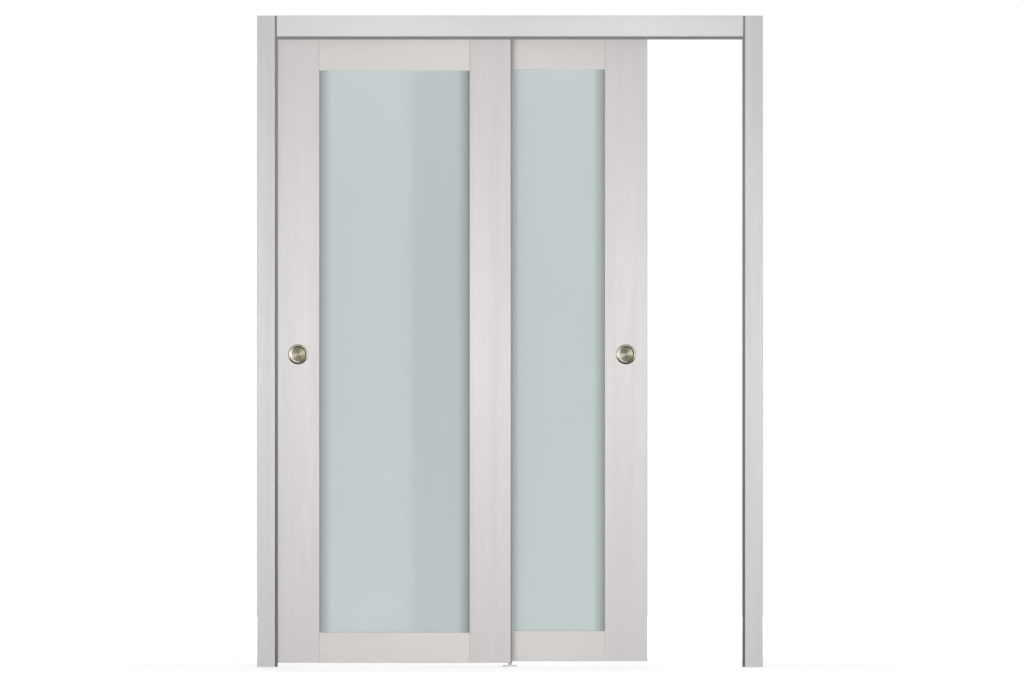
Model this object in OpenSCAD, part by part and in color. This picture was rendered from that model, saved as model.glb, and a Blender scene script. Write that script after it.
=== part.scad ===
// Pair of sliding bypass doors with frosted glass, hung on a hidden double track in a cased frame

/* [Doors] */
// Width of each door
door_w = 762; // [700:1:915]
// Height of each door
door_h = 2032; // [1900:1:2150]
// Thickness of each door
door_t = 40; // [38:1:50]
// Width of the stiles
stile_w = 138; // [120:1:160]
// Height of the top rail
top_rail_h = 115; // [100:1:160]
// Height of the bottom rail
bottom_rail_h = 98; // [90:1:160]
// Rounding of the long edges of stiles and rails
edge_r = 1.5; // [0.5:0.1:3]
// Overlap of the two doors at the middle when both are shut
door_overlap = 14; // [13:1:40]
// Clear space between the two doors
door_gap = 12; // [8:1:20]
// Clear space between the edge of a shut door and the jamb
side_gap = 1; // [0.5:0.5:4]
// Height of the front door above the floor
floor_gap = 13; // [9:1:20]
// How much higher the rear door hangs on its bolts
rear_lift = 4.5; // [0:0.5:5]
// How far the rear door stands open
rear_open = 310; // [0:1:600]

/* [Glazing] */
// Thickness of the glass
glass_t = 6; // [4:1:8]
// Depth of the groove that holds the glass
groove_d = 12; // [8:1:16]
// Wall of the gasket round the glass
gasket_t = 2; // [1:0.5:3]

/* [Dowels] */
// Diameter of the dowels between stiles and rails
dowel_d = 12; // [8:1:14]
// Depth of each dowel hole
dowel_hole_l = 55; // [35:1:60]
// Distance between the two dowels of a joint
dowel_pitch = 36; // [24:1:44]
// Clear space round a dowel and at its ends
dowel_fit = 0.05; // [0.02:0.01:0.1]
// Chamfer at the ends of a dowel
dowel_chamfer = 1.5; // [0.5:0.1:2]

/* [Pulls] */
// Diameter of the rim of the flush pull
pull_d = 65; // [60:1:80]
// Diameter of the cup that sits in the door
cup_d = 55; // [45:1:58]
// Depth of the cup below the face of the door
cup_depth = 10; // [6:1:14]
// Wall of the cup
cup_wall = 1.2; // [0.8:0.1:2]
// Rounding at the bottom edge of the cup
cup_r = 4; // [2.5:0.5:6]
// How far the rim stands proud of the door
rim_rise = 1.6; // [0.8:0.1:2.5]
// Thickness of the rim at its outer edge
rim_edge = 0.5; // [0.3:0.1:0.7]
// How far the dome of the rim would run in over the cup before the bore trims it
rim_lip = 0.8; // [0.4:0.1:1.5]
// Height of the pulls above the floor
pull_z = 1012; // [800:1:1200]
// Clear space between the cup and its hole
cup_fit = 0.1; // [0.05:0.05:0.3]

/* [Frame] */
// Thickness of the side linings
jamb_t = 25; // [20:1:35]
// Depth of the linings through the wall
jamb_d = 116; // [105:1:160]
// Thickness of the head lining
head_t = 16; // [14:1:25]
// Depth of the housing that takes the head lining
housing_d = 8; // [4:1:12]
// Distance from the front edge of the lining to the front door
front_set = 6; // [3:1:8]
// Width of the side casings
casing_w = 57.5; // [45:0.5:90]
// Thickness of the casings
casing_t = 12; // [10:1:20]
// Rounding of the front edges of the casings
casing_r = 2; // [1:0.5:4]
// Set-back of the casing from the inside of the lining
reveal = 4.5; // [2:0.5:8]
// Height of the head casing
head_casing_h = 67.5; // [60:0.5:120]
// How far the head seal hangs below the top of the front door
head_lap = 14; // [8:1:25]
// Width of the seam between head casing and side casing
seam_w = 5; // [2:0.5:6]
// Thickness of the tongue on the back of a casing
tongue_t = 5; // [3:0.5:6]
// Length of the tongue on the back of a casing
tongue_l = 8; // [5:1:12]
// Distance from the inner edge of a side casing to its tongue
tongue_in = 11; // [9:1:13]

/* [Seals] */
// Width of the side seals that shows
seal_w = 8.5; // [6:0.5:12]
// Width of the head seal that shows
head_seal_w = 10; // [6:0.5:14]
// Distance of the seals behind the face of the casing
seal_set = 5; // [2:0.5:6]
// Thickness of the root that holds a seal
root_t = 2.5; // [1.5:0.5:4]
// Length of the root that holds a seal
root_l = 6; // [3:0.5:8]

/* [Track] */
// Height of the track
track_h = 26; // [25:1:34]
// Wall of the track
track_wall = 2; // [1.5:0.1:2.5]
// Clear width inside each channel
channel_w = 32; // [31:1:34]
// Width of the slot under each channel
slot_w = 11; // [10:0.5:11.5]
// Height of the lips beside the slot
lip_h = 1.5; // [0.5:0.1:2]
// Thickness of the lips beside the slot
lip_t = 1.2; // [0.8:0.1:1.4]
// Clear space between the top of the front door and the track
hang_gap = 11; // [10:1:16]
// Clear space at each end of the track
track_end_gap = 0.5; // [0.2:0.1:1]

/* [Trolleys] */
// Distance from the edge of a door to its hanger
hanger_in = 69; // [64:1:72]
// Length of a trolley
trolley_l = 50; // [48:1:56]
// Width of a trolley
trolley_w = 13; // [12:0.5:13]
// Height of a trolley
trolley_h = 13; // [10:1:14]
// Rounding of the ends of a trolley
trolley_r = 3; // [1:0.5:4]
// Distance between the two axles of a trolley
axle_pitch = 30; // [26:1:31]
// Diameter of the axles
axle_d = 5; // [4:0.5:5]
// Diameter of the wheels
wheel_d = 17; // [16:0.5:17.5]
// Width of the tread of a wheel
wheel_w = 6.5; // [5:0.1:6.6]
// How far the hub stands out from the tread on each side
hub_rise = 0.4; // [0.2:0.1:0.5]
// Wall of the hub of a wheel
hub_wall = 1.6; // [1:0.1:2]
// Thickness of the tread of a wheel
tread_t = 2; // [1.5:0.1:2.4]
// Chamfer of the tread of a wheel
tread_bevel = 0.5; // [0.2:0.1:0.8]
// Width of the rivet heads of the axles beyond the axle
rivet_edge = 1.2; // [0.8:0.1:1.5]
// Height of the rivet heads of the axles
rivet_h = 0.6; // [0.4:0.1:0.8]
// Clear space between a wheel and the track or its trolley
roll_gap = 0.3; // [0.2:0.05:0.5]
// Clear space round an axle or a bolt
pin_fit = 0.05; // [0.02:0.01:0.1]

/* [Hangers] */
// Diameter of the hanger bolts
bolt_d = 8; // [6:1:8]
// Width across the flats of the bolt head and the lock nut
hex_w = 13; // [12:1:14]
// Height of the bolt head
bolt_head_h = 5; // [4:0.5:6]
// Distance of the tip of a front bolt below the top of its trolley
bolt_tip = 1; // [0:0.5:2]
// Height of the lock nut
nut_h = 4; // [3:0.5:4.5]
// Length of a hanger plate
plate_l = 72; // [66:1:90]
// Width of a hanger plate
plate_w = 34; // [33:1:36]
// Thickness of a hanger plate
plate_t = 3; // [2:0.5:4]
// Rounding of the corners of a hanger plate
plate_r = 5; // [2:1:8]
// Width of the slot in a hanger plate beyond the bolt
plate_slot_fit = 0.4; // [0.2:0.1:1]
// Clear space round the bolt head in its pocket
pocket_gap = 1; // [0.5:0.5:2]

/* [Screws] */
// Diameter of the screws in plates and track
screw_d = 4; // [3:0.5:4.5]
// Length of the screws in the hanger plates
plate_screw_l = 32; // [20:1:40]
// Diameter of the heads of the countersunk plate screws
plate_screw_head_d = 7.5; // [6:0.5:7.5]
// Distance of the plate screws from the ends of the plate
plate_screw_end = 10; // [8:1:12]
// Distance of the plate screws from the sides of the plate
plate_screw_side = 4.5; // [4:0.1:4.6]
// How far the track screws reach into the head lining
track_screw_l = 12; // [8:1:13]
// Diameter of the heads of the track screws
track_screw_head_d = 8; // [7:0.5:9]
// Height of the heads of the track screws
track_screw_head_h = 2; // [1.5:0.1:2]
// Distance of the first track screw from the end of the opening
track_screw_in = 120; // [90:1:200]
// Number of screws in each channel
track_screw_n = 5; // [3:1:8]
// Diameter of the corner screws
corner_screw_d = 5; // [4:0.5:6]
// Length of the corner screws
corner_screw_l = 60; // [45:1:80]
// Diameter of the heads of the corner screws
corner_screw_head_d = 10; // [8:0.5:11]
// Distance of the corner screws from the edges of the lining
corner_screw_in = 28; // [20:1:40]
// Clear space round a screw
screw_fit = 0.03; // [0.02:0.01:0.1]

/* [Stops] */
// Height of the end stops
stop_h = 14; // [12:1:16]
// Clear space beside an end stop
stop_side_gap = 0.5; // [0.2:0.1:1]
// Clear space between an end stop and the end of the track
stop_end_gap = 5; // [2:1:10]
// Diameter of the rubber pads
pad_d = 9; // [6:1:10]
// Thickness of the rubber pads
pad_t = 3; // [2:0.5:5]
// Diameter of the clamp screws of the stops
stop_screw_d = 5; // [4:0.5:6]
// Diameter of the heads of the clamp screws
stop_screw_head_d = 16; // [14:1:20]
// Height of the heads of the clamp screws
stop_screw_head_h = 3; // [2:0.5:4]
// Distance of the tip of a clamp screw below the top of its stop
stop_screw_tip = 1; // [0:0.5:3]

/* [Floor guide] */
// Length of the fins along the doors
fin_l = 12; // [8:1:12]
// Thickness of the fins
fin_t = 6; // [4:1:8]
// How far the fins reach into the front door
fin_engage = 10; // [8:1:12]
// Clear space between a fin and the side of its groove
fin_gap = 0.6; // [0.4:0.1:0.9]
// Depth of the guide groove in the doors
guide_groove_d = 16; // [14:1:20]
// Length of the base along the doors
guide_l = 44; // [36:1:60]
// Width of the base beyond the fins
guide_edge = 16; // [10:1:20]
// Thickness of the base
guide_t = 4; // [3:0.5:5]
// Rounding of the corners of the base
guide_r = 6; // [2:1:10]

/* [Fixing holes] */
// Diameter of the fixing holes in the linings
fix_d = 6; // [5:0.5:8]
// Diameter of the countersinks of these holes
fix_sink_d = 12; // [10:0.5:16]
// Height of the lower fixing holes
fix_low = 300; // [150:1:500]
// Distance from the top of a side lining to its upper fixing holes
fix_drop = 348; // [250:1:450]
// Distance between the two fixing holes in the head
head_fix_span = 1000; // [400:1:1100]
// Diameter of the fixing holes in the floor guide
guide_fix_d = 4.5; // [3.5:0.5:5]
// Diameter of the countersinks in the floor guide
guide_sink_d = 9; // [7:0.5:10]
// Distance between the two fixing holes in the floor guide
guide_fix_span = 28; // [24:1:40]

/* [Hidden] */
$fn = 64;
eps = 0.01;
wood_colour = [0.83, 0.82, 0.81];
casing_colour = [0.81, 0.81, 0.80];
glass_colour = [0.76, 0.80, 0.79];
seal_colour = [0.42, 0.42, 0.41];
metal_colour = [0.58, 0.56, 0.50];
steel_colour = [0.72, 0.73, 0.74];
track_colour = [0.78, 0.79, 0.80];
nylon_colour = [0.92, 0.92, 0.90];
rubber_colour = [0.20, 0.20, 0.20];
dowel_colour = [0.80, 0.66, 0.46];

// Places across the opening
lining_x = door_w - door_overlap / 2 + side_gap;
casing_x = lining_x + reveal;
head_casing_x = casing_x - seam_w;
tongue_x = casing_x + tongue_in;
front_x = -lining_x + side_gap;
rear_x = lining_x - side_gap - door_w - rear_open;

// Places through the depth, with the middle of the whole at zero
face_y = -(casing_t + jamb_d) / 2;
lining_y = face_y + casing_t;
door_pitch = door_t + door_gap;
front_y = lining_y + front_set + door_t / 2;
rear_y = front_y + door_pitch;
middle_y = (front_y + rear_y) / 2;
seal_t = casing_t - seal_set;
root_y = face_y + seal_set + (seal_t - root_t) / 2;

// Heights
rear_floor_gap = floor_gap + rear_lift;
seal_z = floor_gap + door_h - head_lap;
head_casing_z = seal_z + head_seal_w;
frame_h = head_casing_z + head_casing_h;
track_z = floor_gap + door_h + hang_gap;
head_z = track_z + track_h;
lining_h = head_z + head_t;
ledge_z = track_z + track_wall;
axle_z = ledge_z + roll_gap + wheel_d / 2;
roof_z = head_z - track_wall;

// Sizes of the panes and their grooves
daylight_w = door_w - 2 * stile_w;
daylight_h = door_h - top_rail_h - bottom_rail_h;
groove_w = glass_t + 2 * gasket_t;
glass_in = groove_d - gasket_t;
low_dowel_z = (guide_groove_d + bottom_rail_h - groove_d) / 2;
high_dowel_z = door_h - (top_rail_h - groove_d) / 2;

// Sizes of the running gear
hex_d = hex_w / cos(30);
bolt_l = plate_t + axle_z + trolley_h / 2 - bolt_tip - floor_gap - door_h;
pocket_w = hex_d + 2 * pocket_gap;
pocket_d = plate_t + bolt_head_h + pocket_gap;
hub_w = wheel_w + 2 * hub_rise;
wheel_y = trolley_w / 2 + roll_gap + hub_w / 2;
axle_half = wheel_y + hub_w / 2 + roll_gap;
rivet_d = axle_d + 2 * rivet_edge;
stop_face_x = lining_x - side_gap - hanger_in + trolley_l / 2 + roll_gap;
stop_x = stop_face_x + pad_t;
stop_l = lining_x - track_end_gap - stop_end_gap - stop_x;

// Outline of a board with four rounded edges
module eased_rect(w, d, r) {
    translate([r, 0]) square([w - 2 * r, d]);
    translate([0, r]) square([w, d - 2 * r]);
    for (x = [r, w - r], y = [r, d - r])
        translate([x, y]) circle(r = r);
}

// Outline of a casing, rounded in front and square behind
module casing_outline(w) {
    eased_rect(w, casing_t, casing_r);
    translate([0, casing_t / 2]) square([w, casing_t / 2]);
}

// Extrudes an outline of depth and height along the width
module along_x(l) {
    rotate([90, 0, 90]) linear_extrude(l) children();
}

// Round bar from a point along the width
module bar_x(d, l) {
    rotate([0, 90, 0]) cylinder(d = d, h = l);
}

// Countersunk wood screw with its head at zero, pointing down
module wood_screw(d, l, head_d) {
    head_h = (head_d - d) / 2;
    difference() {
        union() {
            translate([0, 0, -head_h]) cylinder(d1 = d, d2 = head_d, h = head_h);
            translate([0, 0, d - l]) cylinder(d = d, h = l - d - head_h);
            translate([0, 0, -l]) cylinder(d1 = d / 4, d2 = d, h = d);
        }
        translate([0, 0, -head_h / 2]) linear_extrude(head_h) square(d / 2, center = true);
    }
}

// Hole for a countersunk wood screw
module wood_screw_hole(d, l, head_d) {
    head_h = (head_d - d) / 2;
    translate([0, 0, -head_h]) cylinder(d1 = d + 2 * screw_fit, d2 = head_d + 2 * screw_fit, h = head_h + eps);
    translate([0, 0, -l]) cylinder(d = d + 2 * screw_fit, h = l);
}

// Fixing hole with a countersink at zero, pointing down
module fixing_hole(d, sink_d, l) {
    sink_h = (sink_d - d) / 2;
    translate([0, 0, -sink_h]) cylinder(d1 = d, d2 = sink_d, h = sink_h);
    translate([0, 0, -l - eps]) cylinder(d = d, h = l + 2 * eps);
}

// Places things at the front or the rear door, from its lower left corner
module at_door(rear) {
    if (rear) translate([rear_x, rear_y, rear_floor_gap]) children();
    else translate([front_x, front_y, floor_gap]) children();
}

// Turns a left-hand piece of a door into the right-hand one
module right_hand() {
    translate([door_w, 0, 0]) mirror([1, 0, 0]) children();
}

// Repeats a left-hand piece of a door at the right
module both_hands() {
    children();
    right_hand() children();
}

// Turns a left-hand piece of the frame into the right-hand one
module other_side() {
    mirror([1, 0, 0]) children();
}

// Places for the four screws of a hanger plate
module at_plate_screws() {
    reach_x = plate_l / 2 - plate_screw_end;
    reach_y = plate_w / 2 - plate_screw_side;
    for (x = [-reach_x, reach_x], y = [-reach_y, reach_y])
        translate([hanger_in + x, y, door_h]) children();
}

// Places for the dowels of one stile, at its inner edge
module at_dowels() {
    for (z = [low_dowel_z, high_dowel_z], s = [-1, 1])
        translate([stile_w, 0, z + s * dowel_pitch / 2]) children();
}

// Outline of a hanger plate, from its middle
module plate_outline(gap) {
    translate([-plate_l / 2 - gap, -plate_w / 2 - gap])
        eased_rect(plate_l + 2 * gap, plate_w + 2 * gap, plate_r + gap);
}

// Groove in the bottom edge of a door for the fin of the floor guide
module guide_groove(l) {
    w = fin_t + 2 * fin_gap;
    translate([-eps, -w / 2, -eps]) cube([l + 2 * eps, w, guide_groove_d + eps]);
}

// Recess in the top of a stile for the hanger plate, the bolt head and the screws
module hanger_recess() {
    slot_end = (plate_l + pocket_w) / 2;
    translate([hanger_in, 0, door_h - plate_t]) linear_extrude(plate_t + eps) plate_outline(screw_fit);
    translate([hanger_in, 0, door_h - pocket_d]) {
        cylinder(d = pocket_w, h = pocket_d + eps);
        translate([-slot_end, 0, 0]) cylinder(d = pocket_w, h = pocket_d + eps);
        translate([-slot_end, -pocket_w / 2, 0]) cube([slot_end, pocket_w, pocket_d + eps]);
    }
    at_plate_screws() translate([0, 0, -plate_screw_l]) cylinder(d = screw_d + 2 * screw_fit, h = plate_screw_l);
}

// Left stile of a door, with its grooves, dowel holes and hanger recess
module stile() {
    difference() {
        translate([0, -door_t / 2, 0]) linear_extrude(door_h) eased_rect(stile_w, door_t, edge_r);
        translate([stile_w - groove_d, -groove_w / 2, bottom_rail_h - groove_d])
            cube([groove_d + eps, groove_w, daylight_h + 2 * groove_d]);
        at_dowels() translate([-dowel_hole_l, 0, 0])
            bar_x(dowel_d + 2 * dowel_fit, dowel_hole_l + eps);
        guide_groove(stile_w);
        hanger_recess();
    }
}

// Hole in the face of a stile for the cup of the pull
module pull_hole(z) {
    translate([stile_w / 2, -door_t / 2, z]) rotate([-90, 0, 0])
        translate([0, 0, -eps]) cylinder(d = cup_d + 2 * cup_fit, h = cup_depth + cup_wall + cup_fit + eps);
}

// Top rail of a door, grooved below for the glass
module top_rail() {
    translate([stile_w, 0, door_h - top_rail_h]) difference() {
        along_x(daylight_w) translate([-door_t / 2, 0]) eased_rect(door_t, top_rail_h, edge_r);
        translate([-eps, -groove_w / 2, -eps]) cube([daylight_w + 2 * eps, groove_w, groove_d + eps]);
        rail_dowel_holes(high_dowel_z - door_h + top_rail_h);
    }
}

// Bottom rail of a door, grooved above for the glass and below for the floor guide
module bottom_rail() {
    translate([stile_w, 0, 0]) difference() {
        along_x(daylight_w) translate([-door_t / 2, 0]) eased_rect(door_t, bottom_rail_h, edge_r);
        translate([-eps, -groove_w / 2, bottom_rail_h - groove_d])
            cube([daylight_w + 2 * eps, groove_w, groove_d + eps]);
        guide_groove(daylight_w);
        rail_dowel_holes(low_dowel_z);
    }
}

// Dowel holes in both ends of a rail
module rail_dowel_holes(z) {
    for (x = [-eps, daylight_w - dowel_hole_l], s = [-1, 1])
        translate([x, 0, z + s * dowel_pitch / 2]) bar_x(dowel_d + 2 * dowel_fit, dowel_hole_l + eps);
}

// One dowel, centred on the joint
module dowel() {
    half = dowel_hole_l - dowel_fit;
    r = dowel_d / 2;
    rotate([0, 90, 0]) rotate_extrude() polygon([
        [0, -half], [r - dowel_chamfer, -half], [r, dowel_chamfer - half],
        [r, half - dowel_chamfer], [r - dowel_chamfer, half], [0, half],
    ]);
}

// Dowels of one door
module dowels() {
    both_hands() at_dowels() dowel();
}

// Block of the pane's outline, grown by a margin all round
module pane_block(margin, t) {
    translate([stile_w - margin, -t / 2, bottom_rail_h - margin])
        cube([daylight_w + 2 * margin, t, daylight_h + 2 * margin]);
}

// Channel of soft gasket round the edge of the glass
module gasket() {
    difference() {
        pane_block(groove_d, groove_w);
        pane_block(glass_in, glass_t);
        pane_block(0, groove_w + 2 * eps);
    }
}

// Half outline of the inside of the pull's cup, or of its outside with the wall added
module cup_outline(wall, top) {
    r = cup_d / 2 - cup_wall + wall;
    corner = cup_r - cup_wall + wall;
    bottom = -cup_depth - wall;
    translate([0, bottom]) square([r - corner, top - bottom]);
    translate([0, bottom + corner]) square([r, top - bottom - corner]);
    translate([r - corner, bottom + corner]) circle(r = corner);
}

// Domed half outline of the rim of the pull
module rim_outline() {
    inner = cup_d / 2 - cup_wall - rim_lip;
    half = (pull_d / 2 - inner) / 2;
    dome = rim_rise - rim_edge;
    dome_r = (half * half + dome * dome) / (2 * dome);
    intersection() {
        translate([inner + half, rim_rise - dome_r]) circle(r = dome_r);
        translate([inner, 0]) square([2 * half, rim_rise]);
    }
}

// Flush pull, one pressed cup with a domed rim
module pull(z) {
    translate([stile_w / 2, -door_t / 2, z]) rotate([90, 0, 0]) rotate_extrude() difference() {
        union() {
            cup_outline(cup_wall, 0);
            rim_outline();
        }
        cup_outline(0, rim_rise + eps);
    }
}

// Slotted plate let into the top of a stile
module hanger_plate() {
    slot = bolt_d + 2 * plate_slot_fit;
    difference() {
        translate([hanger_in, 0, door_h - plate_t]) linear_extrude(plate_t) difference() {
            plate_outline(0);
            circle(d = slot);
            translate([-plate_l, -slot / 2]) square([plate_l, slot]);
        }
        at_plate_screws() wood_screw_hole(screw_d, plate_screw_l, plate_screw_head_d);
    }
}

// Screws of the two hanger plates of one door
module plate_screws() {
    both_hands() at_plate_screws() wood_screw(screw_d, plate_screw_l, plate_screw_head_d);
}

// Hexagon head bolt that hangs one end of a door from its trolley
module hanger_bolt() {
    translate([hanger_in, 0, door_h - plate_t]) {
        translate([0, 0, -bolt_head_h]) cylinder(d = hex_d, h = bolt_head_h, $fn = 6);
        cylinder(d = bolt_d, h = bolt_l);
    }
}

// Lock nut on top of a hanger plate
module lock_nut() {
    translate([hanger_in, 0, door_h]) difference() {
        cylinder(d = hex_d, h = nut_h, $fn = 6);
        translate([0, 0, -eps]) cylinder(d = bolt_d + 2 * pin_fit, h = nut_h + 2 * eps);
    }
}

// Places at the middle of a trolley
module at_trolley(rear, right) {
    door_x = rear ? rear_x : front_x;
    y = rear ? rear_y : front_y;
    translate([door_x + (right ? door_w - hanger_in : hanger_in), y, axle_z]) children();
}

// Trolley block with bores for the hanger bolt and two axles
module trolley_block() {
    difference() {
        rotate([90, 0, 0]) linear_extrude(trolley_w, center = true)
            translate([-trolley_l / 2, -trolley_h / 2]) eased_rect(trolley_l, trolley_h, trolley_r);
        cylinder(d = bolt_d + 2 * pin_fit, h = trolley_h + 2 * eps, center = true);
        for (x = [-axle_pitch / 2, axle_pitch / 2])
            translate([x, 0, 0]) rotate([90, 0, 0])
                cylinder(d = axle_d + 2 * pin_fit, h = trolley_w + 2 * eps, center = true);
    }
}

// Axle with a rivet head at each end
module axle() {
    rotate([90, 0, 0]) {
        cylinder(d = axle_d, h = 2 * axle_half + rivet_h, center = true);
        for (s = [0, 1])
            mirror([0, 0, s]) translate([0, 0, axle_half]) cylinder(d = rivet_d, h = rivet_h);
    }
}

// The four axles of one door
module axles(rear) {
    for (right = [false, true], x = [-axle_pitch / 2, axle_pitch / 2])
        at_trolley(rear, right) translate([x, 0, 0]) axle();
}

// Wheel with a hub, a thin web and a chamfered tread
module wheel() {
    bore = axle_d / 2 + pin_fit;
    hub = bore + hub_wall;
    r = wheel_d / 2;
    rim = r - tread_t;
    half = wheel_w / 2;
    web = wheel_w / 4;
    rotate([90, 0, 0]) rotate_extrude() polygon([
        [bore, -hub_w / 2], [hub, -hub_w / 2], [hub, -web], [rim, -web], [rim, -half],
        [r - tread_bevel, -half], [r, tread_bevel - half], [r, half - tread_bevel], [r - tread_bevel, half],
        [rim, half], [rim, web], [hub, web], [hub, hub_w / 2], [bore, hub_w / 2],
    ]);
}

// Two wheels on one axle, side is -1 for the left axle of a trolley and 1 for the right
module wheel_pair(rear, right, side) {
    color(nylon_colour) at_trolley(rear, right)
        for (y = [-wheel_y, wheel_y])
            translate([side * axle_pitch / 2, y, 0]) wheel();
}

// Outline of the hollow of one channel with its slot, from the middle of the slot
module channel_hollow() {
    difference() {
        union() {
            translate([-channel_w / 2, track_wall]) square([channel_w, track_h - 2 * track_wall]);
            translate([-slot_w / 2, -eps]) square([slot_w, track_wall + 2 * eps]);
        }
        for (s = [0, 1])
            mirror([s, 0]) translate([slot_w / 2, 0]) square([lip_t, track_wall + lip_h]);
    }
}

// Outline of the double track, two channels under a common top plate
module track_outline() {
    channel_outer = channel_w + 2 * track_wall;
    plate = door_pitch + channel_outer;
    between = door_pitch - channel_outer;
    difference() {
        translate([middle_y - plate / 2, 0]) square([plate, track_h]);
        translate([middle_y - between / 2, -eps]) square([between, track_h - track_wall + eps]);
        translate([front_y, 0]) channel_hollow();
        translate([rear_y, 0]) channel_hollow();
    }
}

// Places of the track screws
module at_track_screws() {
    first = lining_x - track_screw_in;
    step = 2 * first / (track_screw_n - 1);
    for (i = [0 : track_screw_n - 1], y = [front_y, rear_y])
        translate([i * step - first, y, 0]) children();
}

// Places of the two fixing holes in the head
module at_head_fixings() {
    for (x = [-head_fix_span / 2, head_fix_span / 2])
        translate([x, middle_y, 0]) children();
}

// Double track, one extrusion with holes for its screws and the head fixings
module track() {
    l = 2 * (lining_x - track_end_gap);
    color(track_colour) difference() {
        translate([-l / 2, 0, track_z]) along_x(l) track_outline();
        at_track_screws() translate([0, 0, roof_z - eps])
            cylinder(d = screw_d + 2 * screw_fit, h = track_wall + 2 * eps);
        at_head_fixings() translate([0, 0, roof_z - eps]) cylinder(d = fix_d, h = track_wall + 2 * eps);
    }
}

// Round-headed screw that holds the track, with its head at zero
module track_screw() {
    cylinder(d = screw_d, h = track_wall + track_screw_l);
    translate([0, 0, -track_screw_head_h]) cylinder(d = track_screw_head_d, h = track_screw_head_h);
}

// All screws of the track
module track_screws() {
    color(steel_colour) at_track_screws() translate([0, 0, roof_z]) track_screw();
}

// Places of the corner screws on the left side, pointing out of the lining
module at_corner_screws() {
    for (y = [lining_y + corner_screw_in, lining_y + jamb_d - corner_screw_in])
        translate([-lining_x - jamb_t, y, head_z + head_t / 2]) rotate([0, -90, 0]) children();
}

// Screws through both side linings into the ends of the head lining
module corner_screws() {
    color(steel_colour) {
        at_corner_screws() wood_screw(corner_screw_d, corner_screw_l, corner_screw_head_d);
        other_side() at_corner_screws() wood_screw(corner_screw_d, corner_screw_l, corner_screw_head_d);
    }
}

// Left lining with the housing for the head, the casing groove and the fixing holes
module side_lining() {
    color(wood_colour) difference() {
        translate([-lining_x - jamb_t, lining_y, 0]) cube([jamb_t, jamb_d, lining_h]);
        translate([-lining_x - housing_d, lining_y - eps, head_z])
            cube([housing_d + eps, jamb_d + 2 * eps, head_t + eps]);
        translate([-tongue_x - tongue_t, lining_y - eps, -eps])
            cube([tongue_t, tongue_l + eps, lining_h + 2 * eps]);
        for (y = [front_y, rear_y], z = [fix_low, lining_h - fix_drop])
            translate([-lining_x, y, z]) rotate([0, 90, 0]) fixing_hole(fix_d, fix_sink_d, jamb_t);
        at_corner_screws() wood_screw_hole(corner_screw_d, corner_screw_l, corner_screw_head_d);
    }
}

// Head lining with the groove for the head casing and holes for the screws
module head_jamb() {
    half = lining_x + housing_d;
    color(wood_colour) difference() {
        translate([-half, lining_y, head_z]) cube([2 * half, jamb_d, head_t]);
        translate([-head_casing_x, lining_y - eps, head_z + (head_t - tongue_t) / 2])
            cube([2 * head_casing_x, tongue_l + eps, tongue_t]);
        at_track_screws() translate([0, 0, head_z - eps])
            cylinder(d = screw_d + 2 * screw_fit, h = track_screw_l + screw_fit + eps);
        at_head_fixings() translate([0, 0, head_z - eps]) cylinder(d = fix_d, h = head_t + 2 * eps);
        at_corner_screws() wood_screw_hole(corner_screw_d, corner_screw_l, corner_screw_head_d);
        other_side() at_corner_screws() wood_screw_hole(corner_screw_d, corner_screw_l, corner_screw_head_d);
    }
}

// Left casing with a tongue behind and a slot in its inner edge for the seal
module side_casing() {
    color(casing_colour) difference() {
        union() {
            translate([-casing_x - casing_w, face_y, 0]) linear_extrude(frame_h) casing_outline(casing_w);
            translate([-tongue_x - tongue_t, lining_y, 0]) cube([tongue_t, tongue_l, lining_h]);
        }
        translate([-casing_x - root_l, root_y, -eps]) cube([root_l + eps, root_t, frame_h + 2 * eps]);
    }
}

// Head casing between the side casings, with its tongue, seal slot and eased ends
module head_casing() {
    l = 2 * head_casing_x;
    color(casing_colour) difference() {
        union() {
            translate([-l / 2, face_y, head_casing_z]) along_x(l) head_casing_outline();
            translate([-l / 2, lining_y, head_z + (head_t - tongue_t) / 2]) cube([l, tongue_l, tongue_t]);
        }
        translate([-l / 2 - eps, root_y, head_casing_z - eps]) cube([l + 2 * eps, root_t, root_l + eps]);
        for (s = [0, 1])
            mirror([s, 0, 0]) translate([l / 2, face_y, head_casing_z - eps]) linear_extrude(head_casing_h + 2 * eps)
                polygon([[eps, -eps], [-casing_r, -eps], [eps, casing_r]]);
    }
}

// Outline of the head casing through its depth and height
module head_casing_outline() {
    eased_rect(casing_t, head_casing_h, casing_r);
    translate([casing_t / 2, 0]) square([casing_t / 2, head_casing_h]);
}

// Left seal, narrower where it runs up the seam beside the head casing
module side_seal() {
    color(seal_colour) {
        translate([-casing_x, face_y + seal_set, 0]) cube([seal_w, seal_t, head_casing_z]);
        translate([-casing_x, face_y + seal_set, head_casing_z - eps])
            cube([seam_w, seal_t, head_casing_h + eps]);
        translate([-casing_x - root_l, root_y, 0]) cube([root_l + eps, root_t, frame_h]);
    }
}

// Head seal in the lower edge of the head casing
module head_seal() {
    half = casing_x - seal_w;
    root_half = min(half, head_casing_x);
    color(seal_colour) {
        translate([-half, face_y + seal_set, seal_z]) cube([2 * half, seal_t, head_seal_w]);
        translate([-root_half, root_y, head_casing_z - eps]) cube([2 * root_half, root_t, root_l + eps]);
    }
}

// Left end stop, relieved below over the lips of the track
module end_stop(y) {
    relief_w = slot_w + 2 * (lip_t + roll_gap);
    w = channel_w - 2 * stop_side_gap;
    color(nylon_colour) translate([-stop_x - stop_l, y, ledge_z]) difference() {
        translate([0, -w / 2, 0]) cube([stop_l, w, stop_h]);
        translate([-eps, -relief_w / 2, -eps]) cube([stop_l + 2 * eps, relief_w, lip_h + roll_gap + eps]);
        translate([stop_l / 2, 0, -eps]) cylinder(d = stop_screw_d + 2 * screw_fit, h = stop_h + 2 * eps);
    }
}

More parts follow.
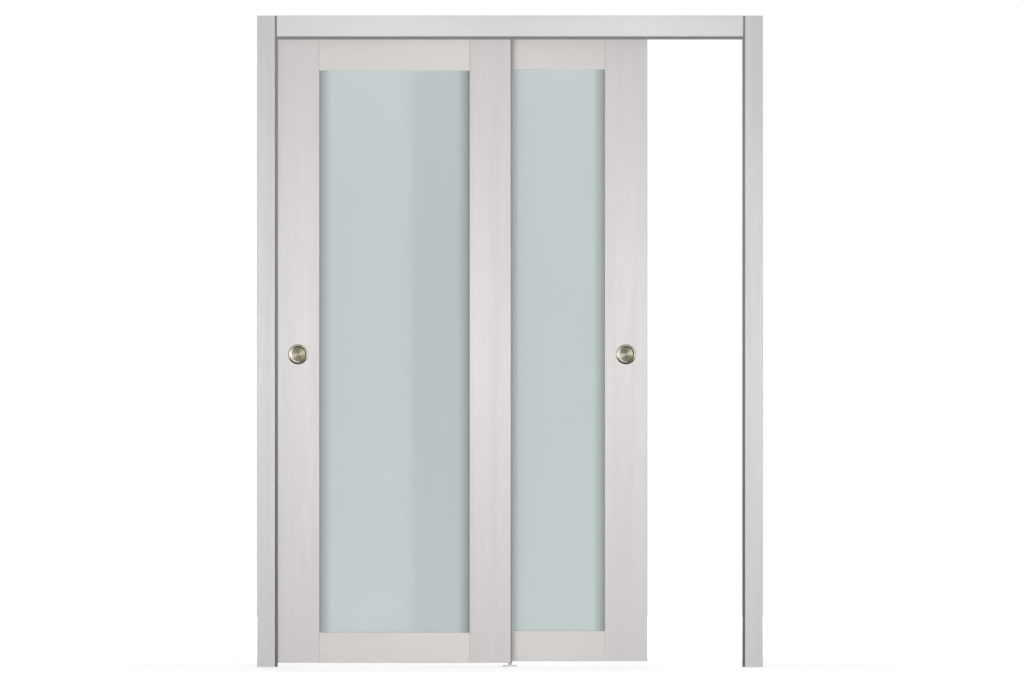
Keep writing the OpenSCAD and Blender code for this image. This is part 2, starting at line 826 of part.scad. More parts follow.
// Rubber pad of the left stop in a channel
module stop_pad(y) {
    translate([-stop_x, y, axle_z]) bar_x(pad_d, pad_t);
}

// Clamp screw of the left stop in a channel, with a wide head under the track
module stop_screw(y) {
    translate([-stop_x - stop_l / 2, y, track_z]) {
        cylinder(d = stop_screw_d, h = track_wall + stop_h - stop_screw_tip);
        translate([0, 0, -stop_screw_head_h]) cylinder(d = stop_screw_head_d, h = stop_screw_head_h);
    }
}

// Pads of the four stops
module stop_pads() {
    color(rubber_colour) for (s = [0, 1], y = [front_y, rear_y])
        mirror([s, 0, 0]) stop_pad(y);
}

// Clamp screws of the four stops
module stop_screws() {
    color(steel_colour) for (s = [0, 1], y = [front_y, rear_y])
        mirror([s, 0, 0]) stop_screw(y);
}

// Floor guide with one rounded fin for each door
module floor_guide() {
    base_w = door_pitch + fin_t + 2 * guide_edge;
    fin_h = floor_gap + fin_engage;
    color(nylon_colour) difference() {
        union() {
            translate([-guide_l / 2, middle_y - base_w / 2, 0]) linear_extrude(guide_t)
                eased_rect(guide_l, base_w, guide_r);
            for (y = [front_y, rear_y]) translate([-fin_l / 2, y, 0]) {
                translate([0, -fin_t / 2, guide_t - eps]) cube([fin_l, fin_t, fin_h - guide_t - fin_t / 2 + eps]);
                translate([0, 0, fin_h - fin_t / 2]) bar_x(fin_t, fin_l);
            }
        }
        for (x = [-guide_fix_span / 2, guide_fix_span / 2])
            translate([x, middle_y, guide_t]) fixing_hole(guide_fix_d, guide_sink_d, guide_t);
    }
}

// Left or right stile of a door, with the pull's hole where it belongs
module door_stile(rear, right) {
    has_pull = rear == right;
    z = pull_z - (rear ? rear_floor_gap : floor_gap);
    color(wood_colour) at_door(rear) difference() {
        if (right) right_hand() stile();
        else stile();
        if (has_pull) {
            if (right) right_hand() pull_hole(z);
            else pull_hole(z);
        }
    }
}

// Pull of a door, on the stile at its outer end
module door_pull(rear) {
    z = pull_z - (rear ? rear_floor_gap : floor_gap);
    color(metal_colour) at_door(rear) {
        if (rear) right_hand() pull(z);
        else pull(z);
    }
}

// Sub-parts of the frame
module left_jamb() side_lining();
module right_jamb() other_side() side_lining();
module left_casing() side_casing();
module right_casing() other_side() side_casing();
module left_seal() side_seal();
module right_seal() other_side() side_seal();
module front_left_stop() end_stop(front_y);
module front_right_stop() other_side() end_stop(front_y);
module rear_left_stop() end_stop(rear_y);
module rear_right_stop() other_side() end_stop(rear_y);

// Sub-parts of the front door
module front_left_stile() door_stile(false, false);
module front_right_stile() door_stile(false, true);
module front_top_rail() color(wood_colour) at_door(false) top_rail();
module front_bottom_rail() color(wood_colour) at_door(false) bottom_rail();
module front_glass() color(glass_colour) at_door(false) pane_block(glass_in, glass_t);
module front_gasket() color(seal_colour) at_door(false) gasket();
module front_dowels() color(dowel_colour) at_door(false) dowels();
module front_pull() door_pull(false);
module front_left_plate() color(steel_colour) at_door(false) hanger_plate();
module front_right_plate() color(steel_colour) at_door(false) right_hand() hanger_plate();
module front_plate_screws() color(steel_colour) at_door(false) plate_screws();
module front_hanger_bolts() color(steel_colour) at_door(false) both_hands() hanger_bolt();
module front_lock_nuts() color(steel_colour) at_door(false) both_hands() lock_nut();
module front_left_trolley() color(metal_colour) at_trolley(false, false) trolley_block();
module front_right_trolley() color(metal_colour) at_trolley(false, true) trolley_block();
module front_axles() color(steel_colour) axles(false);
module front_left_outer_wheels() wheel_pair(false, false, -1);
module front_left_inner_wheels() wheel_pair(false, false, 1);
module front_right_inner_wheels() wheel_pair(false, true, -1);
module front_right_outer_wheels() wheel_pair(false, true, 1);

// Sub-parts of the rear door
module rear_left_stile() door_stile(true, false);
module rear_right_stile() door_stile(true, true);
module rear_top_rail() color(wood_colour) at_door(true) top_rail();
module rear_bottom_rail() color(wood_colour) at_door(true) bottom_rail();
module rear_glass() color(glass_colour) at_door(true) pane_block(glass_in, glass_t);
module rear_gasket() color(seal_colour) at_door(true) gasket();
module rear_dowels() color(dowel_colour) at_door(true) dowels();
module rear_pull() door_pull(true);
module rear_left_plate() color(steel_colour) at_door(true) hanger_plate();
module rear_right_plate() color(steel_colour) at_door(true) right_hand() hanger_plate();
module rear_plate_screws() color(steel_colour) at_door(true) plate_screws();
module rear_hanger_bolts() color(steel_colour) at_door(true) both_hands() hanger_bolt();
module rear_lock_nuts() color(steel_colour) at_door(true) both_hands() lock_nut();
module rear_left_trolley() color(metal_colour) at_trolley(true, false) trolley_block();
module rear_right_trolley() color(metal_colour) at_trolley(true, true) trolley_block();
module rear_axles() color(steel_colour) axles(true);
module rear_left_outer_wheels() wheel_pair(true, false, -1);
module rear_left_inner_wheels() wheel_pair(true, false, 1);
module rear_right_inner_wheels() wheel_pair(true, true, -1);
module rear_right_outer_wheels() wheel_pair(true, true, 1);

left_jamb();
right_jamb();
head_jamb();
corner_screws();
left_casing();
right_casing();
head_casing();
left_seal();
right_seal();
head_seal();
track();
track_screws();
front_left_stop();
front_right_stop();
rear_left_stop();
rear_right_stop();
stop_pads();
stop_screws();
floor_guide();
front_left_stile();
front_right_stile();
front_top_rail();
front_bottom_rail();
front_glass();
front_gasket();
front_dowels();
front_pull();
front_left_plate();
front_right_plate();
front_plate_screws();
front_hanger_bolts();
front_lock_nuts();
front_left_trolley();
front_right_trolley();
front_axles();
front_left_outer_wheels();
front_left_inner_wheels();
front_right_inner_wheels();
front_right_outer_wheels();
rear_left_stile();
rear_right_stile();
rear_top_rail();
rear_bottom_rail();
rear_glass();
rear_gasket();
rear_dowels();
rear_pull();
rear_left_plate();
rear_right_plate();
rear_plate_screws();
rear_hanger_bolts();
rear_lock_nuts();
rear_left_trolley();
rear_right_trolley();
rear_axles();
rear_left_outer_wheels();
rear_left_inner_wheels();
rear_right_inner_wheels();
rear_right_outer_wheels();
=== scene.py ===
"""Looks of a pair of bypass doors, pale wood leaves with frosted panes in a cased frame."""

import logging
import math
from dataclasses import dataclass, field, replace
from enum import Enum

import bmesh
import bpy
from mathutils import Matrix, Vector


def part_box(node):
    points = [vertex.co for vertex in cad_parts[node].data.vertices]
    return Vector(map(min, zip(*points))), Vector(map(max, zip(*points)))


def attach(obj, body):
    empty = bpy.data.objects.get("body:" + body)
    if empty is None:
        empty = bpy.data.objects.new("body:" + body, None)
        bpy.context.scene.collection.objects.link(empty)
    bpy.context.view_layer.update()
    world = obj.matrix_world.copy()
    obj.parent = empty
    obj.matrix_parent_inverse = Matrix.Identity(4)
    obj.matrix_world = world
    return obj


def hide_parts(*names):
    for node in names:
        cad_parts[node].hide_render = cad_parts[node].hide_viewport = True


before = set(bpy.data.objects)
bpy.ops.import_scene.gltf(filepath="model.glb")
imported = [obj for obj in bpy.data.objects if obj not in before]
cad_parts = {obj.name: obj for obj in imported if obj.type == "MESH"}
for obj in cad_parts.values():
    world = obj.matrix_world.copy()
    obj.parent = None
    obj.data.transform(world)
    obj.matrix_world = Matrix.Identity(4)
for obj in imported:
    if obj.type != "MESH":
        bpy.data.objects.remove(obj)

LOG = logging.getLogger("bypass_doors")
MM = 0.001

Tone = tuple[float, float, float]
Colour = tuple[float, float, float, float]
Socket = bpy.types.NodeSocket
Value = Socket | float
Paint = Socket | Colour

WHITE: Colour = (1.0, 1.0, 1.0, 1.0)
SQUARE_ON = math.radians(90.0)

# Curve between the tones of a screen and linear light
TONE_TOP = 255
CURVE_KNEE = 0.04045
CURVE_SLOPE = 12.92
CURVE_OFFSET = 0.055
CURVE_POWER = 2.4


def linear(tone: Tone, gain: float = 1.0) -> Colour:
    """Turns a tone as seen on a screen into the linear colour of a shader.

    Args:
        tone: red, green and blue from 0 to 255.
        gain: factor on the linear colour.

    Returns:
        Linear red, green and blue, with full alpha.
    """
    flat = []
    for channel in tone:
        part = channel / TONE_TOP
        if part <= CURVE_KNEE:
            flat.append(part / CURVE_SLOPE)
        else:
            flat.append(((part + CURVE_OFFSET) / (1.0 + CURVE_OFFSET)) ** CURVE_POWER)
    return (flat[0] * gain, flat[1] * gain, flat[2] * gain, 1.0)


def mesh_of(name: str, bm: bmesh.types.BMesh) -> bpy.types.Mesh:
    """Turns a mesh under construction into a finished one, and frees it.

    Args:
        name: name of the mesh.
        bm: mesh under construction.

    Returns:
        The finished mesh.
    """
    mesh = bpy.data.meshes.new(name)
    bm.to_mesh(mesh)
    bm.free()
    return mesh


def put(name: str, data: bpy.types.ID) -> bpy.types.Object:
    """Adds a mesh, light or camera to the scene.

    Args:
        name: name of the object.
        data: mesh, light or camera that the object holds.

    Returns:
        The object, at the origin.
    """
    thing = bpy.data.objects.new(name, data)
    bpy.context.scene.collection.objects.link(thing)
    return thing


class Grain(Enum):
    """Direction in which wood grain or drawing marks run."""

    LEVEL = 0
    DEEP = 1
    UPRIGHT = 2

    def waves(self, across: float, along: float) -> Vector:
        """Gives the pattern's waves per metre on each axis.

        Args:
            across: waves per metre across the grain.
            along: waves per metre along the grain.

        Returns:
            Scale of the pattern on X, Y and Z.
        """
        scale = Vector((across, across, across))
        scale[self.value] = along
        return scale


class Sheet:
    """Node tree of one finish, with short calls that add and join its nodes."""

    # Places of a colour mix's sockets, whose names are shared with other kinds of mix
    MIX_SHARE, MIX_FIRST, MIX_SECOND, MIX_RESULT = 0, 6, 7, 2
    # Range that holds most of a cloudy pattern
    CLOUD_LOW, CLOUD_HIGH = 0.3, 0.7

    def __init__(self, name: str) -> None:
        """Starts a tree that holds only its shader.

        Args:
            name: name of the material.
        """
        self.material = bpy.data.materials.new(name)
        self.material.use_nodes = True
        self.tree = self.material.node_tree
        self.tree.nodes.clear()
        self.shader = self.add("ShaderNodeBsdfPrincipled")
        result = self.add("ShaderNodeOutputMaterial")
        self.join(self.shader.outputs["BSDF"], result.inputs["Surface"])

    def add(self, kind: str, **settings: object) -> bpy.types.Node:
        """Adds a node.

        Args:
            kind: Blender's name of the node type.
            settings: properties to set on it.

        Returns:
            The new node.
        """
        node = self.tree.nodes.new(kind)
        for key, value in settings.items():
            setattr(node, key, value)
        return node

    def join(self, source: Socket, target: Socket) -> None:
        """Links an output to an input."""
        self.tree.links.new(source, target)

    def feed(self, target: Socket, value: Value | Paint) -> None:
        """Links a socket to an input, or sets the input to a plain value.

        Args:
            target: input to fill.
            value: output to link, or number or colour to set.
        """
        if isinstance(value, Socket):
            self.join(value, target)
        else:
            target.default_value = value

    def set(self, **values: Value | Paint) -> None:
        """Sets inputs of the shader.

        Args:
            values: sockets, numbers or colours by input, named with underscores for spaces.
        """
        for key, value in values.items():
            self.feed(self.shader.inputs[key.replace("_", " ")], value)

    def spot(self) -> Socket:
        """Gives the object's own coordinates in metres."""
        return self.add("ShaderNodeTexCoord").outputs["Object"]

    def axes(self) -> bpy.types.NodeOutputs:
        """Splits the object's own coordinates.

        Returns:
            Outputs X, Y and Z, in metres.
        """
        split = self.add("ShaderNodeSeparateXYZ")
        self.join(self.spot(), split.inputs["Vector"])
        return split.outputs

    def place(self, scale: Vector, shift: Vector | None = None) -> Socket:
        """Scales the object's own coordinates for a pattern.

        Args:
            scale: waves per metre on each axis.
            shift: move of the pattern after scaling.

        Returns:
            The scaled coordinates.
        """
        mapping = self.add("ShaderNodeMapping")
        mapping.inputs["Scale"].default_value = scale
        if shift is not None:
            mapping.inputs["Location"].default_value = shift
        self.join(self.spot(), mapping.inputs["Vector"])
        return mapping.outputs["Vector"]

    def noise(self, coords: Socket, detail: float, bend: float = 0.0) -> Socket:
        """Adds a cloudy pattern.

        Args:
            coords: coordinates in waves.
            detail: number of finer layers.
            bend: how far the pattern is bent by itself.

        Returns:
            Value of the pattern, about 0.5 on average.
        """
        node = self.add("ShaderNodeTexNoise")
        node.inputs["Scale"].default_value = 1.0
        node.inputs["Detail"].default_value = detail
        node.inputs["Distortion"].default_value = bend
        self.join(coords, node.inputs["Vector"])
        return node.outputs["Fac"]

    def spread(
        self, value: Socket, low: float, high: float, first: float = 0.0, last: float = 1.0
    ) -> Socket:
        """Stretches a value from one range to another, held at both ends.

        Args:
            value: value to stretch.
            low: lower end of what goes in.
            high: upper end of what goes in.
            first: what the lower end becomes.
            last: what the upper end becomes.

        Returns:
            The stretched value.
        """
        node = self.add("ShaderNodeMapRange")
        ends = {"From Min": low, "From Max": high, "To Min": first, "To Max": last}
        for key, number in ends.items():
            node.inputs[key].default_value = number
        self.join(value, node.inputs["Value"])
        return node.outputs["Result"]

    def vary(self, pattern: Socket, middle: float, swing: float) -> Socket:
        """Makes a cloudy pattern swing evenly to both sides of a middle value."""
        return self.spread(pattern, self.CLOUD_LOW, self.CLOUD_HIGH, middle - swing, middle + swing)

    def math(self, kind: str, first: Value, second: Value) -> Socket:
        """Works out one sum, product or other operation.

        Args:
            kind: Blender's name of the operation.
            first: first number.
            second: second number.

        Returns:
            The result.
        """
        node = self.add("ShaderNodeMath", operation=kind)
        self.feed(node.inputs[0], first)
        self.feed(node.inputs[1], second)
        return node.outputs["Value"]

    def times(self, first: Value, second: Value) -> Socket:
        """Multiplies two numbers."""
        return self.math("MULTIPLY", first, second)

    def vector(
        self, kind: str, first: Socket, second: Vector | None = None
    ) -> bpy.types.NodeOutputs:
        """Works out one operation on directions or places.

        Args:
            kind: Blender's name of the operation.
            first: direction or place that goes in.
            second: fixed direction, where the operation takes two.

        Returns:
            Outputs Vector and Value, of which the operation fills one.
        """
        node = self.add("ShaderNodeVectorMath", operation=kind)
        self.join(first, node.inputs[0])
        if second is not None:
            node.inputs[1].default_value = second
        return node.outputs

    def blend(self, share: Value, first: Paint, second: Paint) -> Socket:
        """Mixes two colours.

        Args:
            share: part of the second colour, from 0 to 1.
            first: colour at share 0.
            second: colour at share 1.

        Returns:
            The mixed colour.
        """
        node = self.add("ShaderNodeMix", data_type="RGBA")
        self.feed(node.inputs[self.MIX_SHARE], share)
        self.feed(node.inputs[self.MIX_FIRST], first)
        self.feed(node.inputs[self.MIX_SECOND], second)
        return node.outputs[self.MIX_RESULT]

    def relief(self, height: Socket, depth: float, strength: float) -> None:
        """Gives the surface a fine relief.

        Args:
            height: height of the relief, from 0 to 1.
            depth: real depth of the relief in metres.
            strength: how strongly it shows.
        """
        node = self.add("ShaderNodeBump")
        node.inputs["Strength"].default_value = strength
        node.inputs["Distance"].default_value = depth
        self.join(height, node.inputs["Height"])
        self.join(node.outputs["Normal"], self.shader.inputs["Normal"])


@dataclass(frozen=True)
class Figure:
    """Pattern of wood that is drawn out along the grain, such as bands, streaks or pores."""

    across: float
    along: float
    detail: float
    bend: float
    low: float
    high: float

    def draw(self, sheet: Sheet, grain: Grain) -> Socket:
        """Draws the pattern.

        Args:
            sheet: tree that takes the nodes.
            grain: direction of the grain.

        Returns:
            Share of the pattern, from 0 to 1.
        """
        waves = sheet.noise(
            sheet.place(grain.waves(self.across, self.along)), self.detail, self.bend
        )
        return sheet.spread(waves, self.low, self.high)


@dataclass(frozen=True)
class Stain:
    """Cloudy change of tone over a surface, with a factor on the tone at both ends."""

    across: float
    along: float
    detail: float
    low: float
    high: float

    def tint(self, sheet: Sheet, tone: Tone) -> Socket:
        """Stains a tone.

        Args:
            sheet: tree that takes the nodes.
            tone: tone of the clean surface.

        Returns:
            The stained colour.
        """
        waves = Grain.UPRIGHT.waves(self.across, self.along)
        cloud = sheet.noise(sheet.place(waves), self.detail)
        return sheet.blend(cloud, linear(tone, self.low), linear(tone, self.high))


@dataclass(frozen=True)
class Skin:
    """Fine relief of a surface, which makes it rougher and smoother by turns."""

    across: float
    along: float
    detail: float
    swing: float
    depth: float
    strength: float

    def press(self, sheet: Sheet, marks: Socket, roughness: float) -> None:
        """Gives a surface its relief and roughness from marks.

        Args:
            sheet: tree that takes the nodes.
            marks: pattern of the marks.
            roughness: mean roughness.
        """
        sheet.set(Roughness=sheet.vary(marks, roughness, self.swing))
        sheet.relief(marks, self.depth, self.strength)

    def lay(self, sheet: Sheet, roughness: float, grain: Grain = Grain.UPRIGHT) -> None:
        """Covers a surface with marks that run one way.

        Args:
            sheet: tree that takes the nodes.
            roughness: mean roughness.
            grain: direction of the marks.
        """
        coords = sheet.place(grain.waves(self.across, self.along))
        self.press(sheet, sheet.noise(coords, self.detail), roughness)


@dataclass(frozen=True)
class WoodFinish:
    """Pale veneer with fine straight grain under a satin coat, with painted sheen bands and a painted
    shadow line where asked.
    """

    name: str
    tone: Tone
    grain: Grain
    depth: float = 0.045
    roughness: float = 0.4
    sheen_level: float = 0.78
    # glow: middles of painted sheen bands, brighter zones along the veneer
    glow: tuple[float, ...] = ()
    painted_sheen_width: float = 0.3
    painted_sheen_gain: float = 0.05
    # painted shadow line on a meeting stile's outer front corner
    painted_shadow_line: tuple[float, float] | None = None
    painted_shadow_tone: Tone = (108, 106, 108)
    painted_shadow_w: float = 5.4 * MM
    painted_shadow_fade: float = 0.3 * MM
    bands: Figure = Figure(across=34.0, along=1.1, detail=2.0, bend=0.6, low=0.36, high=0.66)
    streaks: Figure = Figure(across=330.0, along=7.0, detail=3.0, bend=0.3, low=0.35, high=0.68)
    pores: Figure = Figure(across=1300.0, along=32.0, detail=2.0, bend=0.2, low=0.56, high=0.68)
    band_share: float = 0.45
    pore_share: float = 0.27
    pore_gain: float = 0.72
    smoother: float = 0.04
    rougher: float = 0.05
    figure_height: float = 0.3
    relief_depth: float = 0.12 * MM
    relief_strength: float = 0.22

    def figure(self, sheet: Sheet) -> Socket:
        """Draws the bands and streaks of the grain.

        Args:
            sheet: tree that takes the nodes.

        Returns:
            Share of the deeper tone.
        """
        band = sheet.times(self.bands.draw(sheet, self.grain), self.band_share)
        streak = sheet.times(self.streaks.draw(sheet, self.grain), 1.0 - self.band_share)
        return sheet.math("ADD", band, streak)

    def painted_sheen(self, sheet: Sheet) -> Socket:
        """Draws a painted sheen, soft brighter zones along the veneer's length.

        Args:
            sheet: tree that takes the nodes.

        Returns:
            Share of the painted sheen's tone.
        """
        along = sheet.axes()[self.grain.value]
        total: Value = 0.0
        for middle in self.glow:
            span = sheet.math("DIVIDE", sheet.math("SUBTRACT", along, middle), self.painted_sheen_width)
            fall = sheet.times(sheet.times(span, span), -1.0)
            total = sheet.math("ADD", total, sheet.math("POWER", math.e, fall))
        return total

    def corner(self, sheet: Sheet) -> Socket:
        """Draws a dark painted shadow line along the outer front corner of a meeting stile.

        Args:
            sheet: tree that takes the nodes.

        Returns:
            Share of the painted shadow's tone.
        """
        spot = sheet.axes()
        side, face = self.painted_shadow_line
        side_start, face_end = side - self.painted_shadow_w, face + self.painted_shadow_w
        across = sheet.spread(spot["X"], side_start, side_start + self.painted_shadow_fade)
        inward = sheet.spread(spot["Y"], face_end, face_end + self.painted_shadow_fade, 1.0, 0.0)
        return sheet.times(across, inward)

    def material(self) -> bpy.types.Material:
        """Builds the finish.

        Returns:
            The material.
        """
        sheet = Sheet(self.name)
        share = self.figure(sheet)
        pore = self.pores.draw(sheet, self.grain)
        pale = linear(self.tone, 1.0 + self.depth / 3)
        veneer = sheet.blend(share, pale, linear(self.tone, 1.0 - self.depth))
        # painted sheen: brighter bands along the veneer's length
        if self.glow:
            veneer = sheet.blend(self.painted_sheen(sheet), veneer, linear(self.tone, 1.0 + self.painted_sheen_gain))
        # painted shadow: a dark line on the meeting stile's corner
        if self.painted_shadow_line:
            veneer = sheet.blend(self.corner(sheet), veneer, linear(self.painted_shadow_tone))
        open_grain = sheet.times(pore, self.pore_share)
        least, most = self.roughness - self.smoother, self.roughness + self.rougher
        sheet.set(
            Base_Color=sheet.blend(open_grain, veneer, linear(self.tone, self.pore_gain)),
            Roughness=sheet.spread(share, 0.0, 1.0, least, most),
            Specular_IOR_Level=self.sheen_level,
        )
        height = sheet.math("SUBTRACT", sheet.times(share, self.figure_height), pore)
        sheet.relief(height, self.relief_depth, self.relief_strength)
        return sheet.material


@dataclass(frozen=True)
class FrostedGlass:
    """Etched pane that lets part of the light through, with painted shade beside its upright edges
    and painted light towards its ends.
    """

    name: str
    tone: Tone
    low: Vector
    high: Vector
    # width and tone of the painted shade beside the stiles
    painted_shade_w: float = 38.0 * MM
    painted_shade_gain: float = 0.6
    painted_light_gain: float = 1.1
    clear: float = 0.2
    roughness: float = 0.9
    bending: float = 1.5
    sheen_level: float = 0.15
    cloud: Stain = Stain(across=9.0, along=4.0, detail=2.0, low=0.985, high=1.015)
    etch: Skin = Skin(2600.0, 2600.0, detail=2.0, swing=0.06, depth=0.05 * MM, strength=0.12)

    def edges(self, sheet: Sheet) -> Socket:
        """Draws the painted shade beside the stiles, darker bands where the recess shades the pane.

        Args:
            sheet: tree that takes the nodes.

        Returns:
            Share of the painted shade's tone.
        """
        across = sheet.axes()["X"]
        near_left = sheet.spread(across, self.low.x, self.low.x + self.painted_shade_w, 1.0, 0.0)
        near_right = sheet.spread(across, self.high.x - self.painted_shade_w, self.high.x)
        return sheet.math("MAXIMUM", near_left, near_right)

    def ends(self, sheet: Sheet) -> Socket:
        """Draws painted light, lighter ends towards the top and bottom rails.

        Args:
            sheet: tree that takes the nodes.

        Returns:
            Share of the painted light's tone.
        """
        half = (self.high.z - self.low.z) / 2
        rise = sheet.math("SUBTRACT", sheet.axes()["Z"], self.low.z + half)
        away = sheet.math("DIVIDE", rise, half)
        return sheet.times(away, away)

    def material(self) -> bpy.types.Material:
        """Builds the finish.

        Returns:
            The material.
        """
        sheet = Sheet(self.name)
        cloudy = self.cloud.tint(sheet, self.tone)
        # painted light: the pane's ends are lighter
        pane = sheet.blend(self.ends(sheet), cloudy, linear(self.tone, self.painted_light_gain))
        sheet.set(
            # painted shade darkens the pane beside the stiles
            Base_Color=sheet.blend(self.edges(sheet), pane, linear(self.tone, self.painted_shade_gain)),
            Transmission_Weight=self.clear,
            IOR=self.bending,
            Specular_IOR_Level=self.sheen_level,
        )
        self.etch.lay(sheet, self.roughness)
        return sheet.material


@dataclass(frozen=True)
class Rubber:
    """Soft moulded strip or pad, matt, with a dusty bloom, and lighter towards the top where set."""

    name: str
    tone: Tone
    roughness: float = 0.72
    contrast: float = 0.14
    top_lift: float = 0.0
    top_lift_low: float = 0.5
    top_lift_high: float = 1.6
    bloom_across: float = 70.0
    bloom_along: float = 9.0
    bloom_detail: float = 3.0
    skin: Skin = Skin(1500.0, 700.0, detail=2.0, swing=0.08, depth=0.08 * MM, strength=0.2)

    def material(self) -> bpy.types.Material:
        """Builds the finish.

        Returns:
            The material.
        """
        sheet = Sheet(self.name)
        waves = Grain.UPRIGHT.waves(self.bloom_across, self.bloom_along)
        bloom = sheet.noise(sheet.place(waves), self.bloom_detail)
        # lighter towards the top
        upward_share = sheet.spread(sheet.axes()["Z"], self.top_lift_low, self.top_lift_high)
        dusty = sheet.times(bloom, 1.0 - self.top_lift)
        share = sheet.math("ADD", dusty, sheet.times(upward_share, self.top_lift))
        deep, pale = linear(self.tone, 1.0 - self.contrast), linear(self.tone, 1.0 + self.contrast)
        sheet.set(Base_Color=sheet.blend(share, deep, pale))
        self.skin.lay(sheet, self.roughness)
        return sheet.material


DRAWN_STAIN = Stain(28.0, 28.0, detail=3.0, low=0.88, high=1.08)
CAST_STAIN = Stain(60.0, 60.0, detail=3.0, low=0.82, high=1.12)
DRAWN_SKIN = Skin(1800.0, 6.0, detail=3.0, swing=0.1, depth=0.03 * MM, strength=0.25)
PLATED_SKIN = replace(DRAWN_SKIN, across=900.0, along=900.0)
CAST_SKIN = Skin(900.0, 900.0, detail=3.0, swing=0.08, depth=0.1 * MM, strength=0.3)


@dataclass(frozen=True)
class Metal:
    """Bare or plated metal, with marks along its length where it was drawn."""

    name: str
    tone: Tone
    roughness: float
    skin: Skin = DRAWN_SKIN
    stain: Stain = DRAWN_STAIN
    grain: Grain = Grain.UPRIGHT

    def material(self) -> bpy.types.Material:
        """Builds the finish.

        Returns:
            The material.
        """
        sheet = Sheet(self.name)
        sheet.set(Base_Color=self.stain.tint(sheet, self.tone), Metallic=1.0)
        self.skin.lay(sheet, self.roughness, self.grain)
        return sheet.material


@dataclass(frozen=True)
class Nylon:
    """Moulded off-white plastic, faintly waxy."""

    name: str
    tone: Tone
    roughness: float = 0.42
    wax: float = 0.08
    wax_depth: float = 4.0 * MM
    cloud: Stain = Stain(120.0, 120.0, detail=2.0, low=0.95, high=1.03)
    skin: Skin = Skin(1400.0, 1400.0, detail=2.0, swing=0.06, depth=0.04 * MM, strength=0.15)

    def material(self) -> bpy.types.Material:
        """Builds the finish.

        Returns:
            The material.
        """
        sheet = Sheet(self.name)
        sheet.set(
            Base_Color=self.cloud.tint(sheet, self.tone),
            Subsurface_Weight=self.wax,
            Subsurface_Scale=self.wax_depth,
        )
        self.skin.lay(sheet, self.roughness)
        return sheet.material


@dataclass(frozen=True)
class Crescent:
    """Arc on one side of a round piece, where a painted shade or a painted glint changes its tone."""

    right: float
    up: float
    start: float
    full: float
    strength: float = 1.0

    def draw(self, sheet: Sheet, flat: Socket) -> Socket:
        """Draws the arc.

        Args:
            sheet: tree that takes the nodes.
            flat: way from the piece's axis to a spot.

        Returns:
            Share of the changed tone, 0 on the far side.
        """
        way = Vector((self.right, 0.0, self.up)).normalized()
        unit = sheet.vector("NORMALIZE", flat)["Vector"]
        lean = sheet.spread(sheet.vector("DOT_PRODUCT", unit, way)["Value"], -1.0, 1.0)
        return sheet.spread(lean, self.start, self.full, 0.0, self.strength)


